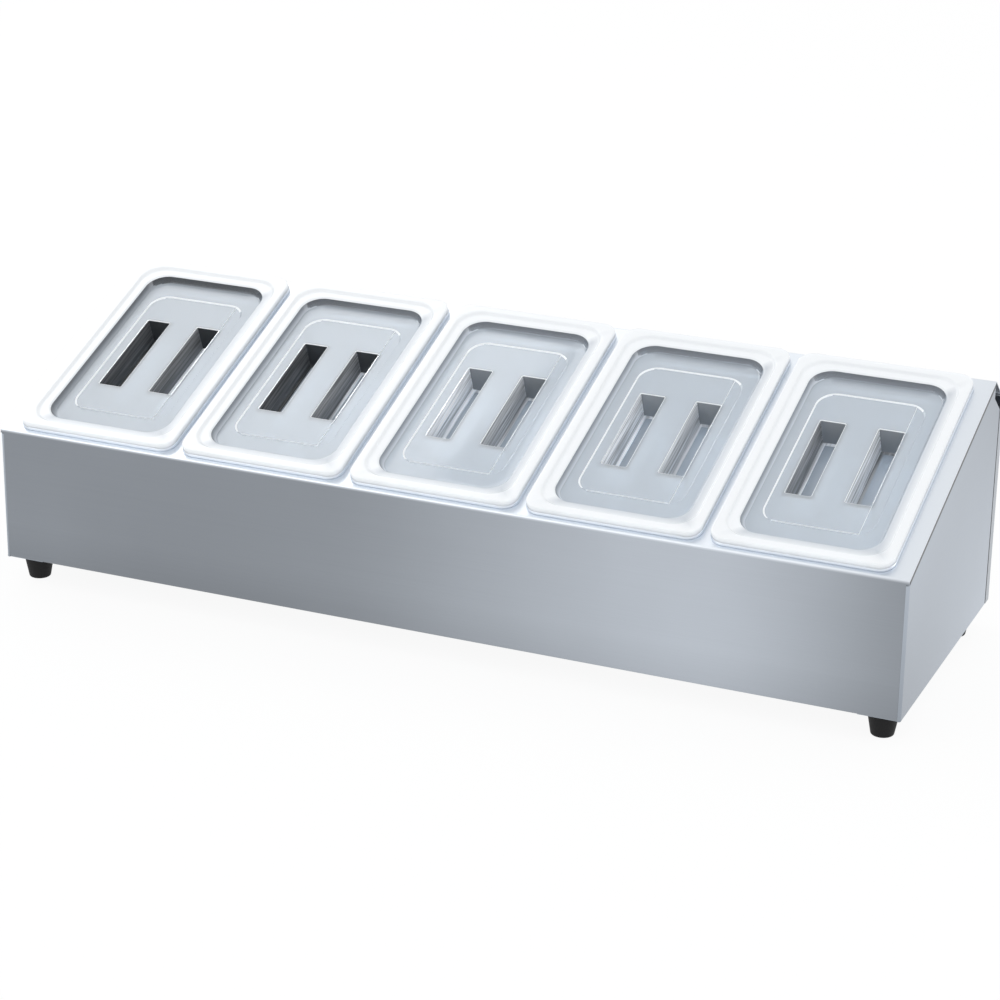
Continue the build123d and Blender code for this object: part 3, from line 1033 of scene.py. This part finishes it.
        for body, place, left in zip(LID_BODIES, pan_places(deck, pan), LEFT_SHADOW):
            shell = Shell()
            first, tray_ring = shell.stack(
                half_width, half_length, rounded_profile(upper), upper_finish
            )
            step_top = shell.ring(step_half_width, step_half_length, lid.step_radius, floor)
            step_foot = shell.ring(
                step_half_width - STEP_RUN, step_half_length - STEP_RUN, lid.step_radius, sunk
            )
            shell.fill(tray_ring, [step_top])
            shell.bridge(step_top, step_foot, material=STEP, smooth=False)
            pad_foot = shell.ring(
                pad_half_width + PAD_RUN, pad_half_length + PAD_RUN, PAD_RADIUS + PAD_RUN, sunk
            )
            pad_ring = shell.ring(pad_half_width, pad_half_length, PAD_RADIUS, pad_top)
            shell.fill(step_foot, [pad_foot])
            shell.bridge(pad_foot, pad_ring, material=STEP, smooth=False)
            shell.fill(pad_ring, pockets(shell, pocket_walls, pocket_finish))
            _, tray_ring = shell.stack(
                half_width,
                half_length,
                rounded_profile(under)[1:],
                lambda inset, height: RIM if inset < crown + CROWN_SEAM else TRAY,
                start=first,
            )
            shell.fill(tray_ring, pockets(shell, pocket_backs, lambda inset, height: POCKET))
            shade = functools.partial(shadow, left)
            piece = shell.finish(f"{body}_moulded", place, finishes, self.face_finish, shade)
            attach(piece, body)
            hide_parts(body)
        return {"FINISHED"}

    def face_finish(self, face):
        """Finish of a tray wall, step side or pocket face by the way that it looks, with painted
        shade and highlights.
        """
        middle, normal = face.calc_center_median(), face.normal
        lit = normal.x > LITTLE or normal.y < -LITTLE
        if face.material_index == WALL:
            return (BACK_WALL if normal.y < -PARTLY else LEFT_WALL) if lit else WALL
        if face.material_index == STEP:
            return EDGE if lit else TRAY
        if face.material_index != POCKET:
            return face.material_index
        if normal.z > FACING:
            return POCKET_FLOOR
        if abs(normal.y) > FACING and middle.y * normal.y < 0:
            return POCKET_END if normal.y < 0 else POCKET
        lid = bpy.context.scene.pan_stand.lid
        spread = math.copysign((lid.grip_width + lid.pocket_width) / 2, middle.x)
        return POCKET_SIDE if normal.x > FACING and middle.x < spread else POCKET

    def tray_tone(self, tree, tint):
        """Painted shade: the tray floor darkens to the left and towards the foot of its left and
        back walls.
        """
        tint = toned(tree, tint, levels_along(tree, axes_of(tree)[0], TRAY_PAINTED_SHADE))
        return shaded(tree, tint, TRAY_SHADOW)

    def ledge_tone(self, tree, tint):
        """Painted shade: the ledge darkens softly towards the right and front edges of the tray."""
        return shaded(tree, tint, LEDGE_SHADE)

    def wall_tone(self, tree, tint, levels):
        """Painted shade: the tray walls are darker on the left lids and under the ledge."""
        tint = toned(tree, tint, levels_along(tree, axes_of(tree)[0], levels))
        return toned(tree, tint, levels_along(tree, height_above_deck(tree), WALL_SHADE_BY_HEIGHT, "LINEAR"))

    def light_by_place(self, tree, tint, light):
        """A colour by the light that reaches each of a number of equal spaces along the deck."""
        space = bpy.context.scene.pan_stand.deck.pan_pitch * len(LID_BODIES) * MM
        stops = [(space * (i / len(light) - 0.5), level) for i, level in enumerate(light)]
        stops.append((space / 2, light[-1]))
        return toned(tree, tint, levels_along(tree, axes_of(tree)[0], stops, "CONSTANT"))

    def streaked(self, tree, tint, light):
        """A colour with the flow streaks of the moulding, and painted light and shade pocket by
        pocket.
        """
        streaks = node(tree, "ShaderNodeGroup", node_tree=streak_group())
        return self.light_by_place(tree, toned(tree, tint, streaks.outputs["Tone"]), light)


def turned_block(tree, sides, sizes, edge, rings, thread=None):
    """Mesh of a turned block that stands on the origin. A thread is its pitch and its depth."""
    height, top, base = sizes
    step = functools.partial(maths, tree)
    block = node(
        tree,
        "GeometryNodeMeshCylinder",
        Vertices=sides,
        Side_Segments=rings,
        Radius=1.0,
        Depth=height,
    )
    position = node(tree, "GeometryNodeInputPosition").outputs[0]
    x, y, z = node(tree, "ShaderNodeSeparateXYZ", position).outputs
    # The rings of points crowd towards both ends, where the edges are eased
    level = step("ADD", step("DIVIDE", z, height), 0.5)
    level = step("MULTIPLY_ADD", step("COSINE", step("MULTIPLY", level, math.pi)), -0.5, 0.5)
    rise = step("MULTIPLY", level, height)
    radius = step("MULTIPLY", step("MULTIPLY_ADD", step("SUBTRACT", top, base), level, base), 0.5)
    near = step("MINIMUM", rise, step("SUBTRACT", height, rise))
    gap = step("MAXIMUM", step("SUBTRACT", edge, near), 0.0)
    left = step("SUBTRACT", step("MULTIPLY", edge, edge), step("MULTIPLY", gap, gap))
    cut = step("SUBTRACT", edge, step("SQRT", step("MAXIMUM", left, 0.0)))
    radius = step("SUBTRACT", radius, cut)
    if thread:
        pitch, depth = thread
        turn = step("DIVIDE", step("ARCTAN2", y, x), 2 * math.pi)
        phase = step("FRACT", step("ADD", step("DIVIDE", rise, pitch), turn))
        flank = step("ABSOLUTE", step("MULTIPLY_ADD", phase, 2.0, -1.0))
        radius = step("SUBTRACT", radius, step("MULTIPLY", flank, depth))
    across, along = step("MULTIPLY", x, radius), step("MULTIPLY", y, radius)
    place = node(tree, "ShaderNodeCombineXYZ", across, along, rise).outputs[0]
    mesh = block.outputs["Mesh"]
    return node(tree, "GeometryNodeSetPosition", mesh, Position=place).outputs[0]


def chosen(tree, size, without, with_it):
    """One mesh or the other: the second where the size is above nothing."""
    there = node(
        tree, "FunctionNodeCompare", size, 0.0, data_type="FLOAT", operation="GREATER_THAN"
    )
    switch = node(
        tree, "GeometryNodeSwitch", there.outputs[0], without, with_it, input_type="GEOMETRY"
    )
    return switch.outputs[0]


@group_once("Turned part")
def turned_tree(name):
    """Geometry nodes: a turned part, with a threaded shank or a bore, on each place."""
    tree, given, out = new_group(
        name,
        (
            ("Geometry", "Geometry", None),
            ("Sides", "Int", 48),
            ("Height", "Float", 0.0),
            ("Top Diameter", "Float", 0.01),
            ("Base Diameter", "Float", 0.01),
            ("Edge", "Float", 0.0),
            ("Shank Length", "Float", 0.0),
            ("Shank Diameter", "Float", 0.004),
            ("Thread Pitch", "Float", 0.001),
            ("Thread Depth", "Float", 0.0003),
            ("Bore", "Float", 0.0),
            ("Turn", "Vector", None),
            ("Seed", "Int", 0),
            ("Material", "Material", None),
        ),
        (("Geometry", "Geometry"),),
        "GeometryNodeTree",
    )
    sizes = [given[label] for label in ("Height", "Top Diameter", "Base Diameter")]
    block = turned_block(tree, given["Sides"], sizes, given["Edge"], BLOCK_RINGS)
    sides = node(tree, "FunctionNodeInputInt", integer=SHANK_SIDES).outputs[0]
    sizes = [given[label] for label in ("Shank Length", "Shank Diameter", "Shank Diameter")]
    thread = (given["Thread Pitch"], given["Thread Depth"])
    shank = turned_block(tree, sides, sizes, given["Thread Depth"], SHANK_RINGS, thread)
    # The shank hangs below the block and bites a little way into it
    drop = maths(tree, "SUBTRACT", SHANK_BITE * MM, given["Shank Length"])
    down = node(tree, "ShaderNodeCombineXYZ", Z=drop).outputs[0]
    hung = node(tree, "GeometryNodeTransform", shank, Translation=down).outputs[0]
    screw = node(
        tree, "GeometryNodeMeshBoolean", operation="UNION", solver="EXACT", Mesh_2=block
    )
    tree.links.new(hung, screw.inputs["Mesh 2"])
    solid = chosen(tree, given["Shank Length"], block, screw.outputs["Mesh"])
    solid = chosen(tree, given["Height"], hung, solid)
    bore = maths(tree, "MULTIPLY", given["Bore"], 0.5)
    drill = node(
        tree, "GeometryNodeMeshCylinder", Vertices=SHANK_SIDES, Radius=bore, Depth=DRILL_LENGTH * MM
    )
    bored = node(
        tree,
        "GeometryNodeMeshBoolean",
        operation="DIFFERENCE",
        solver="EXACT",
        Mesh_1=solid,
        Mesh_2=drill.outputs["Mesh"],
    )
    spread = node(
        tree,
        "GeometryNodeInstanceOnPoints",
        Points=given["Geometry"],
        Instance=chosen(tree, given["Bore"], solid, bored.outputs["Mesh"]),
        Rotation=given["Turn"],
    )
    angle = node(
        tree, "FunctionNodeRandomValue", data_type="FLOAT", Max=2 * math.pi, Seed=given["Seed"]
    )
    spin = node(tree, "ShaderNodeCombineXYZ", Z=angle.outputs[1]).outputs[0]
    spun = node(tree, "GeometryNodeRotateInstances", spread.outputs[0], Rotation=spin)
    real = node(tree, "GeometryNodeRealizeInstances", spun.outputs[0])
    coat = node(tree, "GeometryNodeSetMaterial", real.outputs[0], Material=given["Material"])
    fed(tree, out, coat.outputs[0])
    arranged(tree)
    return tree


def solids(name):
    """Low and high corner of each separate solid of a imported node, in order."""
    source = frame["nodes"][name]
    mesh = bmesh.new()
    mesh.from_mesh(source.data)
    mesh.transform(source.matrix_world)
    bmesh.ops.remove_doubles(mesh, verts=mesh.verts, dist=1e-6)
    left = set(mesh.verts)
    boxes = []
    while left:
        found = [left.pop()]
        for vert in found:
            for edge in vert.link_edges:
                other = edge.other_vert(vert)
                if other in left:
                    left.remove(other)
                    found.append(other)
        axes = list(zip(*(vert.co for vert in found)))
        boxes.append((Vector(map(min, axes)), Vector(map(max, axes))))
    mesh.free()
    return sorted(boxes, key=lambda box: [round(value, 4) for value in (*box[0], *box[1])])


def bases(name):
    """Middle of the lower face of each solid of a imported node."""
    return [((low.x + high.x) / 2, (low.y + high.y) / 2, low.z) for low, high in solids(name)]


def grown(replaced, places, sizes, values):
    """Turned parts on a set of places, as one plain piece of the stand.

    Sizes are the inputs in millimetres, and values are the other inputs.
    """
    name = f"{replaced}_turned"
    data = bpy.data.meshes.new(f"{name}_places")
    data.from_pydata(places, [], [])
    host = linked(f"{name}_host", data)
    tree = turned_tree()
    modifier = host.modifiers.new(name, "NODES")
    modifier.node_group = tree
    sockets = {
        item.name: item.identifier
        for item in tree.interface.items_tree
        if item.item_type == "SOCKET" and item.in_out == "INPUT"
    }
    for label, size in sizes.items():
        modifier[sockets[label]] = size * MM
    for label, value in values.items():
        modifier[sockets[label]] = value
    evaluated = host.evaluated_get(bpy.context.evaluated_depsgraph_get())
    mesh = bpy.data.meshes.new_from_object(evaluated)
    mesh.name = name
    bpy.data.objects.remove(host)
    if not mesh.polygons:
        raise RuntimeError(f"{name} came out empty")
    for face in mesh.polygons:
        face.use_smooth = True
    mesh.set_sharp_from_angle(angle=SHARP_ANGLE)
    piece = linked(name, mesh)
    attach(piece, "stand")
    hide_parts(replaced)


class PANSTAND_OT_feet(Operator):
    """Make the rubber feet"""

    bl_idname = "pan_stand.feet"
    bl_label = "Feet"

    def execute(self, context):
        foot = context.scene.pan_stand.foot
        sizes = {
            "Height": foot.height,
            "Top Diameter": foot.top_diameter,
            "Base Diameter": foot.base_diameter,
            "Edge": foot.edge,
        }
        black = {"Material": rubber(context.scene.pan_stand.finish.rubber_colour)}
        for name in ("front_feet", "rear_feet"):
            grown(name, bases(name), sizes, black)
        return {"FINISHED"}


class PANSTAND_OT_fasteners(Operator):
    """Make the screws, the nuts and the washers"""

    bl_idname = "pan_stand.fasteners"
    bl_label = "Fasteners"

    def execute(self, context):
        settings = context.scene.pan_stand
        size = settings.fastener
        colour = settings.finish.zinc_colour
        plated = steel("Plated steel", colour, (700, 700, 700), roughness=0.28, depth=0.1)
        seeded = {"Seed": size.seed, "Material": plated}
        # A hexagon is this much wider over its corners than over its flats
        corners = 1 / math.cos(math.pi / 6)
        grown(
            "cover_screws",
            [
                ((low.x + high.x) / 2, high.y - size.head_height * MM, (low.z + high.z) / 2)
                for low, high in solids("cover_screws")
            ],
            {
                "Height": size.head_height,
                "Top Diameter": size.head_width * corners,
                "Base Diameter": size.head_width * corners,
                "Edge": size.edge,
                "Shank Length": size.shank_length + SHANK_BITE,
                "Shank Diameter": size.shank_diameter,
                "Thread Pitch": size.shank_pitch,
                "Thread Depth": size.thread_depth,
            },
            {"Sides": 6, "Turn": (-math.pi / 2, 0, 0), **seeded},
        )
        grown(
            "foot_screws",
            bases("foot_screws"),
            {
                "Shank Length": size.stud_length + SHANK_BITE,
                "Shank Diameter": size.stud_diameter,
                "Thread Pitch": size.stud_pitch,
                "Thread Depth": size.thread_depth,
            },
            {"Turn": (math.pi, 0, 0), **seeded},
        )
        grown(
            "foot_washers",
            bases("foot_washers"),
            {
                "Height": size.washer_height,
                "Top Diameter": size.washer_diameter,
                "Base Diameter": size.washer_diameter,
                "Edge": size.edge / 2,
                "Bore": size.bore,
            },
            {"Material": plated},
        )
        grown(
            "foot_nuts",
            bases("foot_nuts"),
            {
                "Height": size.nut_height,
                "Top Diameter": size.nut_width * corners,
                "Base Diameter": size.nut_width * corners,
                "Edge": size.edge,
                "Bore": size.bore,
            },
            {"Sides": 6, **seeded},
        )
        return {"FINISHED"}


class PANSTAND_OT_stage(Operator):
    """Make the floor, the world, the lamps and the camera"""

    bl_idname = "pan_stand.stage"
    bl_label = "Stage"

    def execute(self, context):
        scene = context.scene
        stage = scene.pan_stand.stage
        self.floor(stage)
        self.world(scene)
        for lamp in LAMPS:
            self.lamp(*lamp)
        self.camera(scene, stage)
        scene.view_settings.view_transform = "Standard"
        return {"FINISHED"}

    def floor(self, stage):
        """A wide level floor that shows white, keeps a soft shadow and can't be seen from below."""
        data = bpy.data.meshes.new("floor")
        corners = ((-1, -1), (1, -1), (1, 1), (-1, 1))
        data.from_pydata(
            [(x * FLOOR_REACH, y * FLOOR_REACH, 0) for x, y in corners], [], [(0, 1, 2, 3)]
        )
        material, tree, surface = new_material("Floor")
        fed(
            tree,
            surface,
            Base_Color=(*stage.floor_colour, 1),
            Roughness=0.9,
            Specular_IOR_Level=0.0,
        )
        glow = node(tree, "ShaderNodeEmission").outputs[0]
        white = maths(tree, "MULTIPLY", self.seen(tree), FLOOR_WHITE)
        above = node(tree, "ShaderNodeMixShader", white, surface.outputs[0], glow).outputs[0]
        below = node(tree, "ShaderNodeBsdfTransparent").outputs[0]
        side = node(tree, "ShaderNodeNewGeometry").outputs["Backfacing"]
        both = node(tree, "ShaderNodeMixShader", side, above, below)
        fed(tree, tree.nodes["Material Output"], both.outputs[0])
        arranged(tree)
        data.materials.append(material)
        floor = linked("floor", data)

    def seen(self, tree):
        """1 for what the camera sees, straight or in metal or through clear plastic."""
        path = node(tree, "ShaderNodeLightPath").outputs
        straight = maths(tree, "MAXIMUM", path["Is Camera Ray"], path["Is Glossy Ray"])
        return maths(tree, "MAXIMUM", straight, path["Is Transmission Ray"])

    def world(self, scene):
        """White where it is seen, and a plain level where it only lights."""
        scene.world = bpy.data.worlds.new("World")
        scene.world.use_nodes = True
        tree = scene.world.node_tree
        level = ranged(tree, self.seen(tree), 0.0, 1.0, WORLD_LIGHT, 1.0)
        fed(tree, tree.nodes["Background"], Color=(1, 1, 1, 1), Strength=level)
        arranged(tree)

    def lamp(self, name, place, aim, width, power):
        """A square area lamp that faces its aim."""
        data = bpy.data.lights.new(name, "AREA")
        data.shape = "SQUARE"
        data.size = width
        data.energy = power
        lamp = linked(name, data)
        lamp.location = place
        lamp.rotation_euler = (Vector(aim) - Vector(place)).to_track_quat("-Z", "Y").to_euler()

    def camera(self, scene, stage):
        """The camera at the viewing angle of the photograph."""
        pitch, roll, heading = stage.camera_turn
        data = bpy.data.cameras.new("Camera")
        data.lens = stage.focal_length
        data.sensor_width = 36.0
        data.clip_end = 100.0
        camera = linked("Camera", data)
        camera.location = stage.camera_place
        level = math.cos(pitch)
        forward = Vector((math.sin(heading) * level, math.cos(heading) * level, math.sin(pitch)))
        right = Vector((math.cos(heading), -math.sin(heading), 0))
        upward = right.cross(forward)
        side = right * math.cos(roll) + upward * math.sin(roll)
        crown = upward * math.cos(roll) - right * math.sin(roll)
        camera.rotation_euler = Matrix((side, crown, -forward)).transposed().to_euler()
        scene.camera = camera


class PANSTAND_PT_panel(Panel):
    """Sizes, finishes and the pieces that they make"""

    bl_idname = "PANSTAND_PT_panel"
    bl_label = "Pan Stand"
    bl_space_type = "VIEW_3D"
    bl_region_type = "UI"
    bl_category = "Pan Stand"

    def draw(self, context):
        settings = context.scene.pan_stand
        for title in ("deck", "pan", "lid", "foot", "fastener", "finish", "stage"):
            box = self.layout.box()
            box.label(text=title.capitalize())
            group = getattr(settings, title)
            for name in group.bl_rna.properties.keys():
                if name not in ("rna_type", "name"):
                    box.prop(group, name)
        for piece in PIECES:
            self.layout.operator(piece.bl_idname)


PIECES = (
    PANSTAND_OT_body,
    PANSTAND_OT_pans,
    PANSTAND_OT_lids,
    PANSTAND_OT_feet,
    PANSTAND_OT_fasteners,
    PANSTAND_OT_stage,
)
CLASSES = (
    DeckSettings,
    PanSettings,
    LidSettings,
    FootSettings,
    FastenerSettings,
    FinishSettings,
    StageSettings,
    PanStandSettings,
    *PIECES,
    PANSTAND_PT_panel,
)


def register():
    """Adds the settings, the operators and the panel."""
    for made in CLASSES:
        bpy.utils.register_class(made)
    bpy.types.Scene.pan_stand = PointerProperty(
        type=PanStandSettings, name="Pan stand", description="Settings of the pan stand"
    )


def unregister():
    """Takes them away again."""
    del bpy.types.Scene.pan_stand
    for made in reversed(CLASSES):
        bpy.utils.unregister_class(made)


def main():
    """Registers the settings, the operators and the panel, then makes every piece."""
    register()
    bpy.ops.pan_stand.body()
    bpy.ops.pan_stand.pans()
    bpy.ops.pan_stand.lids()
    bpy.ops.pan_stand.feet()
    bpy.ops.pan_stand.fasteners()
    bpy.ops.pan_stand.stage()


if __name__ == "__main__":
    main()
